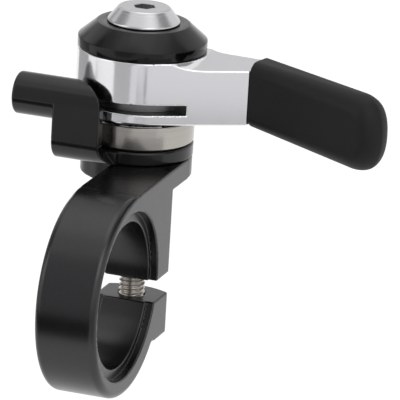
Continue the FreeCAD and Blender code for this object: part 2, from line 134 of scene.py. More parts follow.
# cable stop
SHEET = 2.0
STOP_DISC_R = 8.6
STOP_DISC_TOP_Z = node_box("index_housing")[0][2]
STOP_FRONT = -12.16
STOP_LEFT = -9.6
STOP_RIGHT = -2.0
STOP_FLARE = 2.0
STOP_FLARE_HEIGHT = 3.0
STOP_OVERLAP = 0.4
PLATE_OVERLAP = 0.1
FOOT_BACK = ((1.0, -6.0), (-7.4, -4.0))
BEND_R = 3.4
BARREL_R = 3.25
BARREL_T = MOUNTS["cable_housing"]["pos_m"][1] / MM - PIVOT[1]
BARREL_Z = MOUNTS["cable_housing"]["pos_m"][2] / MM
BARREL_END = node_box("cable_stop")[0][0] - PIVOT[0]
BARREL_RIM = 0.4
BARREL_MITRE_DEG = 38.0
BARREL_HUB_GAP = 0.82
MOUTH_R = MOUNTS["cable_housing"]["dims"]["r_mm"]
MOUTH_DEPTH = MOUNTS["cable_housing"]["dims"]["length_mm"]
CABLE_HOLE_R = 0.8
CABLE_HOLE_END = -1.0

# index housing
HOUSING_LOW_Z = node_box("index_housing")[0][2]
HOUSING_TOP_Z = node_box("index_housing")[1][2]
HOUSING_R = 8.59
HOUSING_BORE_R = 7.65
HOUSING_CHAMFER = 0.45
HOUSING_FLOOR = 0.9

# lever hub
HUB_R = node_box("lever")[1][1] - PIVOT[1]
HUB_LOW_Z = 22.09
HUB_TOP_Z = node_box("lever")[1][2]
LIP_R = 7.35
LIP_Z = node_box("lever")[0][2]
LIP_OVERLAP = 1.0
CAVITY_R = 7.0
CAVITY_Z = 23.3
BUSH_R = 4.6
TAB_SLOT_DEGREES = (150.0, -30.0)
TAB_SLOT_HALF = 1.25
TAB_SLOT_REACH = 7.4
GROOVE = (23.68, 25.22)
GROOVE_R = 8.0
GROOVE_START = -221.0
GROOVE_END = -31.0
GROOVE_INTO_ARM = 1.6
GROOVE_SKIN = 0.12
GROOVE_SLACK = 0.03
GROOVE_ROUND = 0.15
NIPPLE_POCKET_DEG = GROOVE_END + 19
NIPPLE_POCKET_AT = 10.3
NIPPLE_POCKET_R = 2.3
NIPPLE_POCKET_TOP_Z = 26.42

# lever arm: its front face is tangent to the hub and ends at the bend, where the cut for the grip begins
ARM_DEG = 30.0
ARM_LEN = 14.7
ARM_TOP_Z = 30.45
ARM_TILT = 0.13
ARM_BACK = ((11.65, 4.1), (8.7, 4.4))
RAMP_R = 3.2
RAMP_REACH = 3.1
RAMP_RUN = 3.0
RAMP_DROP = 0.35
RAMP_BLEND = 1.5
CUT_DEG = 76.9
CUT_LEN = 6.2
TANGENT = turned(0.0, -HUB_R, -ARM_DEG)
BEND = turned(ARM_LEN, -HUB_R, -ARM_DEG)

# tongue inside the grip, along and across the blade from the bend
BLADE_DEG = -27.0
TONGUE_CORNERS = ((0.3, 1.3), (21.5, 1.3), (21.5, 4.5), (-1.4, 4.5))
TONGUE_ROOT = 2.4
TONGUE_ROOT_HALF = 0.9
TONGUE_LOW = 1.3
TONGUE_TOP = 1.2

# grip: seen from above, its end is round, and it falls and grows rounder toward that end
GRIP_DEG = -26.868
GRIP_THICK = 5.667
GRIP_LEN = 26.5
GRIP_TOP_Z = node_box("lever_grip")[1][2]
GRIP_LOW_Z = 21.784
GRIP_FALL = 1.699 / 25.0
GRIP_END_R = 3.876
GRIP_END_TOP_R = 5.806
GRIP_END_LOW_R = 5.777
GRIP_EDGE = 1.725
GRIP_EDGE_GROWTH = 1.205 / 25.0
GRIP_EDGE_LEAST = 0.3
GRIP_EDGE_MOST = 2.8

# cap, washer and pivot bolt
CAP_LOW_Z = node_box("top_cap")[0][2]
CAP_TOP_Z = node_box("top_cap")[1][2]
CAP_WASHER_Z = node_box("thrust_washer")[1][2]
CAP_BORE_R = 8.2
CAP_LOW_EDGE = 0.12
CAP_FACE_R = 7.1
CAP_POST_R = 3.6
CAP_POST_Z = node_box("pivot_post")[1][2]
CAP_SEAT_R = 5.3
WASHER_R = 5.25
WASHER_LOW_Z = node_box("bolt_washer")[0][2]
WASHER_TOP_Z = node_box("bolt_washer")[1][2]
BOLT_HOLE_R = 2.55
BOLT_LOW_Z = node_box("pivot_bolt")[0][2]
BOLT_TOP_Z = node_box("pivot_bolt")[1][2]
BOLT_SHANK_R = 2.5
BOLT_HEAD_R = 5.54
BOLT_RIM = 0.25
BOLT_CONE_IN = 1.64
BOLT_SOCKET_DEPTH = 2.0
BOLT_MESH_STEP = 0.13

# meshes
BOX_MARGIN = 0.1
SETTLE_ROUNDS = 3
SLOPE_STEP = 0.02
ARC_STEPS = 4
TURNED_SEGMENTS = 160
TURNED_SHARP_DEG = 28
THREAD_SHARP_DEG = 60
FINE_MESH = 0.8
WELD = 1e-7
LEAST_GROWTH = 0.2
TINY = 1e-9

STAINLESS_NODES = ["pivot_post", "detent_plate", "stop_pin", "detent_ball_1", "detent_ball_2",
                   "detent_ball_3", "pressure_plate", "disc_spring_lower", "disc_spring_upper"]
ACETAL_NODES = ["lever_bush", "thrust_washer"]
BRASS_NODES = ["ball_carrier"]

# colours and materials

def linear(hex_colour):
    """An sRGB hex value such as "#8a8a8a" as linear red, green, blue and alpha."""
    text = hex_colour.lstrip("#")
    out = []
    for i in (0, 2, 4):
        c = int(text[i:i + 2], 16) / 255
        out.append(c / 12.92 if c <= 0.04045 else ((c + 0.055) / 1.055) ** 2.4)
    return (*out, 1.0)

def add_node(tree, kind, inputs=None, **settings):
    """Adds one node. inputs maps a socket to a value, or to another node's output socket."""
    node = tree.nodes.new(kind)
    for key, value in settings.items():
        setattr(node, key, value)
    for key, value in (inputs or {}).items():
        if isinstance(value, bpy.types.NodeSocket):
            tree.links.new(value, node.inputs[key])
        else:
            node.inputs[key].default_value = value
    return node

def new_material(name):
    """An empty procedural material and its node tree."""
    material = bpy.data.materials.new(name)
    material.use_nodes = True
    material.node_tree.nodes.clear()
    return material, material.node_tree

def spaced(tree, spacing_mm):
    """Object coordinates scaled so that one unit is spacing_mm on the object."""
    coordinates = add_node(tree, "ShaderNodeTexCoord")
    scale = 1 / (MM * spacing_mm)
    mapping = add_node(tree, "ShaderNodeMapping", {"Vector": coordinates.outputs["Object"],
                                                   "Scale": (scale,) * 3})
    return mapping.outputs[0]

def around_pivot(tree):
    """Millimetre coordinates with the lever's pivot as their centre line, for marks left by turning."""
    coordinates = add_node(tree, "ShaderNodeTexCoord")
    centre = (-PIVOT[0] * MM, -PIVOT[1] * MM, 0.0)
    shifted = add_node(tree, "ShaderNodeVectorMath", {0: coordinates.outputs["Object"], 1: centre},
                       operation="ADD")
    scaled = add_node(tree, "ShaderNodeVectorMath", {0: shifted.outputs[0], "Scale": 1 / MM},
                      operation="SCALE")
    return scaled.outputs[0]

def finish_material(material, shader):
    """Shows the shader as the material's surface."""
    add_node(material.node_tree, "ShaderNodeOutputMaterial", {"Surface": shader.outputs[0]})
    return material

def surfaced(material, tint, rough, inputs, bump=None):
    """Closes a finish. tint is a pattern, a colour and how much darker it gets, rough is a pattern and its
    range, bump is a pattern, its strength and its height in mm, and inputs are the shader's plain values."""
    tree = material.node_tree
    pattern, colour, depth = tint
    darker = [c * (1 - depth) for c in colour[:3]] + [1.0]
    mixed = add_node(tree, "ShaderNodeMix", {"Factor": pattern.outputs["Fac"], "A": darker,
                                             "B": list(colour)}, data_type="RGBA")
    pattern, low, high = rough
    ranged = add_node(tree, "ShaderNodeMapRange", {"Value": pattern.outputs["Fac"], "To Min": low,
                                                   "To Max": high})
    inputs = {"Base Color": mixed.outputs["Result"], "Roughness": ranged.outputs["Result"], **inputs}
    if bump:
        pattern, strength, height = bump
        bumped = add_node(tree, "ShaderNodeBump", {"Height": pattern.outputs["Fac"], "Strength": strength,
                                                   "Distance": height * MM})
        inputs["Normal"] = bumped.outputs["Normal"]
    return finish_material(material, add_node(tree, "ShaderNodeBsdfPrincipled", inputs))

def anodised_aluminium(colours):
    """Blasted and black anodised aluminium: the dyed skin still mirrors softly, broken by a fine grain.
    The grain left by blasting is about 0.05 mm and too fine to show, so it is drawn at 0.22 mm."""
    material, tree = new_material("black anodised aluminium, blasted")
    grain = add_node(tree, "ShaderNodeTexNoise", {"Vector": spaced(tree, 0.22), "Scale": 1.0,
                                                  "Detail": 3.0, "Roughness": 0.6})
    cloud = add_node(tree, "ShaderNodeTexNoise", {"Vector": spaced(tree, 6.0), "Scale": 1.0, "Detail": 2.0})
    return surfaced(material, (grain, colours.clamp, 0.2), (cloud, 0.24, 0.31),
                    {"Metallic": 1.0}, (grain, 0.06, 0.03))

def satin_black_coat(colours):
    """Cast metal under a satin black coat: long soft highlights over a very slightly uneven skin."""
    material, tree = new_material("black powder coat, satin")
    peel = add_node(tree, "ShaderNodeTexNoise", {"Vector": spaced(tree, 0.9), "Scale": 1.0, "Detail": 2.0})
    cloud = add_node(tree, "ShaderNodeTexNoise", {"Vector": spaced(tree, 5.0), "Scale": 1.0})
    return surfaced(material, (cloud, colours.cable_stop, 0.25), (cloud, 0.14, 0.2),
                    {"IOR": 1.45}, (peel, 0.12, 0.04))

def turned_black_cap(colours):
    """Machined cap with a smooth semi-gloss black finish: rings from turning, finer than the render
    can part, soften what it mirrors."""
    material, tree = new_material("black anodised cap, turned")
    rings = add_node(tree, "ShaderNodeTexWave", {"Vector": around_pivot(tree), "Scale": 18.0,
                                                 "Distortion": 0.4, "Detail": 2.0},
                     wave_type="RINGS", rings_direction="Z")
    cloud = add_node(tree, "ShaderNodeTexNoise", {"Vector": spaced(tree, 3.0), "Scale": 1.0})
    return surfaced(material, (cloud, colours.cap, 0.2), (cloud, 0.1, 0.16),
                    {"IOR": 1.45, "Specular IOR Level": 0.36}, (rings, 0.08, 0.02))

def turned_steel(name, colour, depth, roughness, ring_mm, strength):
    """Turned steel: fine rings round the axis blur each reflection along the turning."""
    material, tree = new_material(name)
    where = around_pivot(tree)
    parts = add_node(tree, "ShaderNodeSeparateXYZ", {0: where})
    length = add_node(tree, "ShaderNodeVectorMath", {0: where}, operation="LENGTH")
    lines = add_node(tree, "ShaderNodeCombineXYZ", {"X": length.outputs["Value"], "Z": parts.outputs["Z"]})
    grain = add_node(tree, "ShaderNodeTexNoise", {"Vector": lines.outputs[0], "Scale": 1 / ring_mm,
                                                  "Detail": 4.0, "Roughness": 0.7})
    return surfaced(material, (grain, colour, depth), (grain, roughness[0], roughness[1]),
                    {"Metallic": 1.0}, (grain, strength, 0.02))

def satin_housing_steel(colours):
    """Stainless steel with a satin turned skin: the darkest and sharpest rings of the three steels."""
    return turned_steel("stainless steel, turned satin", colours.housing, 0.4, (0.16, 0.26), 0.12, 0.14)

def machined_steel(colours):
    """Stainless steel as it leaves the machine: a grey, soft mirror on the screw and the inner pieces."""
    return turned_steel("stainless steel, machined", colours.steel, 0.35, (0.22, 0.34), 0.2, 0.1)

def polished_bolt_steel(colours):
    """Polished steel of the pivot bolt: bright, with faint rings."""
    return turned_steel("steel, turned and polished", colours.bolt, 0.2, (0.22, 0.3), 0.15, 0.08)

def polished_aluminium(colours):
    """Forged aluminium, buffed bright: a clear mirror with a trace of buffing haze."""
    material, tree = new_material("aluminium, buffed bright")
    haze = add_node(tree, "ShaderNodeTexNoise", {"Vector": spaced(tree, 2.5), "Scale": 1.0,
                                                 "Detail": 4.0, "Roughness": 0.65})
    return surfaced(material, (haze, colours.lever, 0.06), (haze, 0.1, 0.17),
                    {"Metallic": 1.0}, (haze, 0.05, 0.02))

def groove_aluminium_with_painted_shade(colours):
    """Machined groove, never buffed: matt and blurred where the hub is bright, with a darker colour that is
    painted shade in the hollow of the groove.
    """
    material, tree = new_material("aluminium, machined and dulled, with painted groove shade")
    groove_mottle = add_node(tree, "ShaderNodeTexNoise", {"Vector": spaced(tree, 0.5), "Scale": 1.0, "Detail": 3.0})
    return surfaced(material, (groove_mottle, colours.groove, 0.3), (groove_mottle, 0.3, 0.42),
                    {"Metallic": 1.0})

def moulded_rubber(colours):
    """Moulded rubber: matte, very dark, with the fine grain of the mould and a weak sheen at its edges.
    The mould's grain is about 0.1 mm and too fine to show, so it is drawn at 0.3 mm."""
    material, tree = new_material("black rubber, moulded")
    grain = add_node(tree, "ShaderNodeTexNoise", {"Vector": spaced(tree, 0.3), "Scale": 1.0, "Detail": 3.0})
    cloud = add_node(tree, "ShaderNodeTexNoise", {"Vector": spaced(tree, 8.0), "Scale": 1.0})
    return surfaced(material, (cloud, colours.grip, 0.25), (grain, 0.5, 0.62),
                    {"IOR": 1.5, "Specular IOR Level": 0.3}, (grain, 0.2, 0.04))

def moulded_acetal(colours):
    """Moulded acetal: smooth, waxy black plastic with faint flow clouds."""
    material, tree = new_material("black acetal, moulded")
    cloud = add_node(tree, "ShaderNodeTexNoise", {"Vector": spaced(tree, 2.0), "Scale": 1.0})
    return surfaced(material, (cloud, colours.acetal, 0.25), (cloud, 0.38, 0.46),
                    {"IOR": 1.48})

def stamped_brass(colours):
    """Stamped brass: warm yellow metal, slightly dulled between the press marks."""
    material, tree = new_material("brass, stamped")
    cloud = add_node(tree, "ShaderNodeTexNoise", {"Vector": spaced(tree, 1.5), "Scale": 1.0, "Detail": 3.0})
    return surfaced(material, (cloud, colours.carrier, 0.2), (cloud, 0.22, 0.34),
                    {"Metallic": 1.0})

FINISHES = {}

def finish_of(maker):
    """One of the shifter's finishes, made the first time that a piece asks for it."""
    if maker not in FINISHES:
        FINISHES[maker] = maker(bpy.context.scene.shifter_colours)
    return FINISHES[maker]

# distance functions of simple forms, in millimetres and negative inside

def both(a, b, r=0.0):
    """The space inside both a and b, with an outer edge rounded to r."""
    if np.ndim(r) == 0 and r <= 0:
        return np.maximum(a, b)
    u, v = np.maximum(a + r, 0), np.maximum(b + r, 0)
    return np.minimum(-r, np.maximum(a, b)) + np.sqrt(u * u + v * v)

def without(a, b, r=0.0):
    """The space inside a and outside b, the new edges rounded to r."""
    return both(a, -b, r)

def disc(u, v, cu, cv, r):
    """Inside a circle of radius r about cu, cv."""
    return np.hypot(u - cu, v - cv) - r

def between(w, low, high):
    """Inside a slab from low to high."""
    return np.maximum(low - w, w - high)

def hexagon(s, t, degrees):
    """Inside the socket for the hexagon key, with flats that face the given directions."""
    return np.max([np.abs(turned(s, t, angle)[0]) - SOCKET_HALF for angle in degrees], axis=0)

def arc_sector(s, t, start, end):
    """Inside a wedge at the pivot that runs from start to end degrees; the distance is along the arc."""
    middle, half = (start + end) / 2, (end - start) / 2
    turn = (np.degrees(np.arctan2(t, s)) - middle + 180) % 360 - 180
    return np.radians(np.abs(turn) - half) * np.hypot(s, t)

def outline(points, x, y):
    """Inside a closed outline of straight lines, seen from above."""
    nearest = np.inf
    sign = 1.0
    for i, (x0, y0) in enumerate(points):
        x1, y1 = points[i - 1]
        ex, ey = x1 - x0, y1 - y0
        wx, wy = x - x0, y - y0
        along = np.clip((wx * ex + wy * ey) / (ex * ex + ey * ey), 0, 1)
        nearest = np.minimum(nearest, (wx - ex * along) ** 2 + (wy - ey * along) ** 2)
        above, below, left = y >= y0, y < y1, ex * wy > ey * wx
        crossed = (above & below & left) | ~(above | below | left)
        sign = np.where(crossed, -sign, sign)
    return sign * np.sqrt(nearest)

# forms of the pieces

def key_opening(s, t):
    """Opening for the flattened round of the pivot post."""
    return np.maximum(disc(s, t, 0, 0, KEY_R), np.abs(t) - KEY_HALF)

def clamp_field(x, y, z):
    """Split band with its web, pivot boss and lugs."""
    s, t = x - PIVOT[0], y - PIVOT[1]
    side = np.abs(x) - BAND_HALF
    ring = np.hypot(y, z) - RING_R
    block = np.maximum(-y, between(z, LUG_LOW_Z, BAND_TOP_Z))
    # the ring's rim is rounder than the block's, and sharpens toward the web above and the lug below
    toward_web = np.clip((RIM_FADE_Y - y) / (2 * RIM_FADE_Y), 0, 1)
    toward_lug = np.clip((block - ring) / RIM_FADE_LUG + 0.5, 0, 1)
    rim = SAWN_EDGE + (RIM_EDGE - SAWN_EDGE) * np.where(z > 0, toward_web, toward_lug)
    body = both(np.minimum(ring, block), side, rim)
    crown = np.hypot(x, np.maximum(y - (LUG_BACK_Y - LUG_CROWN_R), 0)) - LUG_CROWN_R
    body = both(body, crown, TURNED_EDGE)
    web = np.maximum(side, between(y, WEB_START_Y, PIVOT[1]))
    plate = np.minimum(web, disc(s, t, 0, 0, BOSS_R))
    body = np.minimum(body, both(plate, between(z, BOSS_LOW_Z, BAND_TOP_Z), SAWN_EDGE))
    body = without(body, np.hypot(y, z) - BAR_R, BORED_EDGE)
    recess = np.maximum(BAND_HALF - RECESS_DEPTH - np.abs(x), disc(y, z, *RECESS_AT, RECESS_R))
    body = without(body, recess, TURNED_EDGE)
    gap = np.maximum(between(z, *GAP), BAR_R / 2 - y)
    body = without(body, gap, SAWN_EDGE)
    hole = np.maximum(disc(x, y, 0.0, SCREW_Y, SCREW_HOLE_R), between(z, *SCREW_HOLE))
    head = np.maximum(disc(x, y, 0.0, SCREW_Y, SCREW_HEAD_HOLE_R), z - SCREW_SEAT_Z)
    body = without(body, np.minimum(hole, head), DRILLED_EDGE)
    seat = np.maximum(disc(s, t, 0, 0, FLANGE_R), z - BOSS_LOW_Z - FLANGE_HEIGHT)
    key = np.maximum(key_opening(s, t), BOSS_LOW_Z - z)
    return without(body, np.minimum(seat, key), INNER_EDGE)

def stop_field(x, y, z):
    """Cable stop: base disc, bent foot, upright sheet and cable barrel."""
    s, t = x - PIVOT[0], y - PIVOT[1]
    base = both(disc(s, t, 0, 0, STOP_DISC_R), between(z, BAND_TOP_Z, STOP_DISC_TOP_Z), SAWN_EDGE)
    bend_t, bend_z = STOP_FRONT + BEND_R, BAND_TOP_Z + BEND_R
    foot = outline([(STOP_LEFT, bend_t - STOP_OVERLAP), (0.0, bend_t - STOP_OVERLAP), *FOOT_BACK,
                    (STOP_LEFT, bend_t)], s, t)
    foot = both(foot, between(z, BAND_TOP_Z, BAND_TOP_Z + SHEET), SAWN_EDGE)
    bend = np.abs(np.hypot(t - bend_t, z - bend_z) - BEND_R + SHEET / 2) - SHEET / 2
    bend = np.maximum(bend, np.maximum(t - bend_t, z - bend_z))
    wall = np.maximum(between(t, STOP_FRONT, STOP_FRONT + SHEET),
                      between(z, bend_z - PLATE_OVERLAP, BARREL_Z))
    # the sheet widens on one side as it bends into the foot
    flare = STOP_FLARE * np.clip((bend_z - STOP_OVERLAP - z) / STOP_FLARE_HEIGHT, 0, 1) ** 2
    ends = np.maximum(STOP_LEFT - s, s - STOP_RIGHT - flare)
    sheet = both(np.minimum(bend, wall), ends, SAWN_EDGE)
    barrel = both(disc(t, z, BARREL_T, BARREL_Z, BARREL_R), BARREL_END - s, BARREL_RIM)
    a = math.radians(BARREL_MITRE_DEG)
    mitre = HUB_R + BARREL_HUB_GAP + s * math.sin(a) + t * math.cos(a)
    barrel = both(barrel, np.maximum(mitre, s - STOP_RIGHT), SAWN_EDGE)
    body = np.minimum(np.minimum(base, foot), np.minimum(sheet, barrel))
    mouth = np.maximum(disc(t, z, BARREL_T, BARREL_Z, MOUTH_R), s - BARREL_END - MOUTH_DEPTH)
    way_out = np.maximum(disc(t, z, BARREL_T, BARREL_Z, CABLE_HOLE_R), s - CABLE_HOLE_END)
    body = without(body, np.minimum(mouth, way_out), DRILLED_EDGE)
    return without(body, key_opening(s, t), INNER_EDGE)

def from_bend(along, across, degrees):
    """Place from the pivot of a point that is given along and across a direction from the bend."""
    s, t = turned(along, across, -degrees)
    return BEND[0] + s, BEND[1] + t

def past_cut(s, t):
    """Distance past the slanted line where the grip begins."""
    return -turned(s - BEND[0], t - BEND[1], CUT_DEG)[1]

def tongue_field(s, t, z):
    """The lever's tongue inside the grip."""
    corners = [from_bend(*corner, BLADE_DEG) for corner in TONGUE_CORNERS]
    middle = from_bend(CUT_LEN / 2, 0.0, CUT_DEG)
    corners += [(middle[0] - TONGUE_ROOT, middle[1] + side * TONGUE_ROOT_HALF) for side in (1, -1)]
    return np.maximum(outline(corners, s, t), between(z, HUB_LOW_Z + TONGUE_LOW, ARM_TOP_Z - TONGUE_TOP))

def arm_roof(s, t):
    """Height of the arm's upper side, which falls a little to the front and rises in a hollow to the hub."""
    flat = ARM_TOP_Z + ARM_TILT * (HUB_R + turned(s, t, ARM_DEG)[1])
    run = np.clip(HUB_R + RAMP_REACH - np.hypot(s, t), 0, RAMP_RUN)
    ramp = ARM_TOP_Z - RAMP_DROP + RAMP_R - np.sqrt(RAMP_R ** 2 - run ** 2)
    blend = np.maximum(RAMP_BLEND - np.abs(flat - ramp), 0) ** 2 / (4 * RAMP_BLEND)
    return np.minimum(np.maximum(flat, ramp) + blend, HUB_TOP_Z)

def hub_hollows(s, t, z):
    """Bore of the bush, cavity of the mechanism, slots of the carrier's tabs and pocket of the nipple."""
    r = np.hypot(s, t)
    hollow = np.minimum(r - BUSH_R, np.maximum(r - CAVITY_R, z - CAVITY_Z))
    for degrees in TAB_SLOT_DEGREES:
        along, across = turned(s, t, degrees)
        slot = np.maximum(np.abs(across) - TAB_SLOT_HALF, between(along, 0.0, TAB_SLOT_REACH))
        hollow = np.minimum(hollow, np.maximum(slot, z - CAVITY_Z))
    pocket = disc(s, t, *turned(NIPPLE_POCKET_AT, 0.0, -NIPPLE_POCKET_DEG), NIPPLE_POCKET_R)
    return np.minimum(hollow, np.maximum(pocket, z - NIPPLE_POCKET_TOP_Z))

def lever_field(x, y, z):
    """Forged lever: round hub with its cable groove, arm and tongue."""
    s, t = x - PIVOT[0], y - PIVOT[1]
    r = np.hypot(s, t)
    arm = outline([(0.0, 0.0), TANGENT, BEND, from_bend(CUT_LEN, 0.0, CUT_DEG), *ARM_BACK], s, t)
    upper = np.minimum(both(r - HUB_R, z - HUB_TOP_Z, FORGED_EDGE),
                       both(arm, z - arm_roof(s, t), TURNED_EDGE))
    body = np.maximum(both(np.minimum(r - HUB_R, arm), HUB_LOW_Z - z, FORGED_EDGE), upper)
    lip = np.maximum(r - LIP_R, between(z, LIP_Z, HUB_LOW_Z + LIP_OVERLAP))
    body = np.minimum(np.minimum(body, lip), tongue_field(s, t, z))
    groove = np.maximum(np.maximum(GROOVE_R - r, between(z, *GROOVE)),
                        arc_sector(s, t, GROOVE_START, GROOVE_END))
    body = without(body, groove, INNER_EDGE)
    return without(body, hub_hollows(s, t, z), INNER_EDGE)

def in_groove(x, y, z):
    """Whether places on the lever's surface lie in the cable groove, below the skin of hub and arm."""
    s, t = x - PIVOT[0], y - PIVOT[1]
    r = np.hypot(s, t)
    past_front = -turned(s, t, ARM_DEG)[1] - HUB_R
    skin = np.minimum(r - HUB_R, np.maximum(past_front, r - HUB_R - GROOVE_INTO_ARM))
    level = between(z, GROOVE[0] - GROOVE_SLACK, GROOVE[1] + GROOVE_SLACK) < 0
    below_skin = (r > GROOVE_R - GROOVE_ROUND) & (skin < -GROOVE_SKIN)
    return level & below_skin & (arc_sector(s, t, GROOVE_START - 1, GROOVE_END + 1) < 0)

def grip_field(x, y, z):
    """Rubber grip on the lever's tongue."""
    s, t = x - PIVOT[0], y - PIVOT[1]
    along, across = turned(s - BEND[0], t - BEND[1], GRIP_DEG)
    past_end = along - GRIP_LEN
    plan = both(between(across, 0.0, GRIP_THICK), past_end, GRIP_END_R)
    under = GRIP_LOW_Z - GRIP_FALL * along - z
    side = np.maximum(both(z - GRIP_TOP_Z, past_end, GRIP_END_TOP_R), both(under, past_end, GRIP_END_LOW_R))
    edge = np.clip(GRIP_EDGE + GRIP_EDGE_GROWTH * along, GRIP_EDGE_LEAST, GRIP_EDGE_MOST)
    body = both(both(plan, side, edge), -past_cut(s, t), FORGED_EDGE)
    return without(body, tongue_field(s, t, z))

def screw_head_field(x, y, z):
    """Socket head of the clamp screw, with a short shank into the thread."""
    head = both(disc(x, y, 0.0, SCREW_Y, SCREW_HEAD_R), between(z, SCREW_HEAD_LOW_Z, SCREW_SEAT_Z),
                FORGED_EDGE)
    socket = np.maximum(hexagon(x, y - SCREW_Y, (0, 60, 120)), z - SCREW_HEAD_LOW_Z - SCREW_SOCKET_DEPTH)
    shank = np.maximum(disc(x, y, 0.0, SCREW_Y, SCREW_SHANK_R), between(z, *SCREW_SHANK))
    return np.minimum(without(head, socket, INNER_EDGE), shank)

def bolt_field(x, y, z):
    """Conical socket head of the pivot bolt, and its shank."""
    s, t = x - PIVOT[0], y - PIVOT[1]
    r = np.hypot(s, t)
    rim_z = WASHER_TOP_Z + BOLT_RIM
    cone_height = BOLT_TOP_Z - rim_z
    cone = (r - BOLT_HEAD_R) * cone_height + (z - rim_z) * BOLT_CONE_IN
    cone = cone / math.hypot(cone_height, BOLT_CONE_IN)
    head = both(both(r - BOLT_HEAD_R, cone, INNER_EDGE), z - BOLT_TOP_Z, TURNED_EDGE)
    head = both(head, WASHER_TOP_Z - z, SEAT_EDGE)
    socket = np.maximum(hexagon(s, t, (30, 90, 150)), BOLT_TOP_Z - BOLT_SOCKET_DEPTH - z)
    shank = both(r - BOLT_SHANK_R, between(z, BOLT_LOW_Z, rim_z), TURNED_EDGE)
    return np.minimum(without(head, socket, FINE_EDGE), shank)

# meshes

CORNERS = [(i, j, k) for i in (0, 1) for j in (0, 1) for k in (0, 1)]

def crossing_points(value, active):
    """One point in each active cell: the middle of the places where the surface crosses the cell's edges."""
    total = np.zeros((len(active), 3))
    hits = np.zeros(len(active))
    for near in CORNERS:
        for d in range(3):
            if near[d]:
                continue
            far = list(near)
            far[d] = 1
            start = value[tuple((active + near).T)]
            end = value[tuple((active + far).T)]
            crossed = (start < 0) != (end < 0)
            share = np.where(crossed, start / np.where(crossed, start - end, 1), 0)
            place = active + np.array(near, float)
            place[:, d] += share
            total[crossed] += place[crossed]
            hits[crossed] += 1
    return total / hits[:, None]

def crossing_faces(inside, number):
    """A quad round each grid edge that the surface crosses, through the points of the four cells there."""
    n = number.shape
    faces = []
    for d in range(3):
        e, f = (d + 1) % 3, (d + 2) % 3
        head, tail = [slice(None)] * 3, [slice(None)] * 3
        head[d], tail[d] = slice(0, -1), slice(1, None)
        cross = np.argwhere(inside[tuple(head)] != inside[tuple(tail)])
        cross = cross[(cross[:, e] > 0) & (cross[:, f] > 0) & (cross[:, e] < n[e]) & (cross[:, f] < n[f])]
        quad = []
        for back_e, back_f in ((-1, -1), (0, -1), (0, 0), (-1, 0)):
            cell = cross.copy()
            cell[:, e] += back_e
            cell[:, f] += back_f
            quad.append(number[tuple(cell.T)])
        quad = np.stack(quad, 1)
        flip = ~inside[tuple(cross.T)]
        quad[flip] = quad[flip][:, ::-1]
        faces.append(quad)
    return np.concatenate(faces)

def slope_of(field, points):
    """Direction in which the field grows at each point."""
    slope = np.zeros_like(points)
    for d in range(3):
        ahead, behind = points.copy(), points.copy()
        ahead[:, d] += SLOPE_STEP
        behind[:, d] -= SLOPE_STEP
        slope[:, d] = (field(*ahead.T) - field(*behind.T)) / (2 * SLOPE_STEP)
    return slope

def surface_mesh(name, field, node, step):
    """Piece whose skin is where field is zero, meshed in a CAD node's box, with the field's own direction
    as its smooth normals."""
    low, high = node_box(node)
    axes = [np.arange(a - BOX_MARGIN - step, b + BOX_MARGIN + 2 * step, step) for a, b in zip(low, high)]
    shape = tuple(len(a) for a in axes)
    value = np.broadcast_to(field(*np.meshgrid(*axes, indexing="ij", sparse=True)), shape)
    value = value.astype(np.float32)
    inside = value < 0
    cells = [length - 1 for length in shape]
    count = sum(inside[i:i + cells[0], j:j + cells[1], k:k + cells[2]].astype(np.uint8)
                for i, j, k in CORNERS)
    active = np.argwhere((count > 0) & (count < len(CORNERS)))
    number = -np.ones(cells, np.int64)
    number[tuple(active.T)] = np.arange(len(active))
    faces = crossing_faces(inside, number)
    points = np.array([a[0] for a in axes]) + crossing_points(value, active) * step
    for _ in range(SETTLE_ROUNDS):
        slope = slope_of(field, points)
        move = slope * (field(*points.T) / np.maximum((slope * slope).sum(1), LEAST_GROWTH))[:, None]
        length = np.linalg.norm(move, axis=1, keepdims=True)
        points = points - move * np.minimum(1, step / np.maximum(length, TINY))
    normals = slope_of(field, points)
    normals /= np.maximum(np.linalg.norm(normals, axis=1, keepdims=True), TINY)
    mesh = bpy.data.meshes.new(name)
    mesh.vertices.add(len(points))
    mesh.vertices.foreach_set("co", (points * MM).ravel())
    mesh.loops.add(faces.size)
    mesh.loops.foreach_set("vertex_index", faces.ravel())
    mesh.polygons.add(len(faces))
    mesh.polygons.foreach_set("loop_start", np.arange(0, faces.size, 4))
    mesh.update(calc_edges=True)
    mesh.validate()
    mesh.shade_smooth()
    mesh.normals_split_custom_set_from_vertices(normals)
    piece = bpy.data.objects.new(name, mesh)
    COLLECTION.objects.link(piece)
    return piece

def rounded_profile(points):
    """A polyline of (radius, height, corner radius) with each corner turned into an arc."""
    out = []
    for i, (r, z, corner) in enumerate(points):
        if corner <= 0 or i in (0, len(points) - 1):
            out.append((r, z))
            continue
        p = np.array((r, z))
        a = np.array(points[i - 1][:2]) - p
        b = np.array(points[i + 1][:2]) - p
        a_length, b_length = np.linalg.norm(a), np.linalg.norm(b)
        a, b = a / a_length, b / b_length
        half = math.acos(max(-1, min(1, float(a @ b)))) / 2
        back = min(corner / math.tan(half), 0.49 * a_length, 0.49 * b_length)
        radius = back * math.tan(half)
        middle = p + (a + b) / np.linalg.norm(a + b) * radius / math.sin(half)
        start, end = p + a * back - middle, p + b * back - middle
        sweep = math.atan2(start[0] * end[1] - start[1] * end[0], float(start @ end))
        for k in range(ARC_STEPS + 1):
            c, s = math.cos(sweep * k / ARC_STEPS), math.sin(sweep * k / ARC_STEPS)
            out.append((middle[0] + c * start[0] - s * start[1], middle[1] + s * start[0] + c * start[1]))
    return out

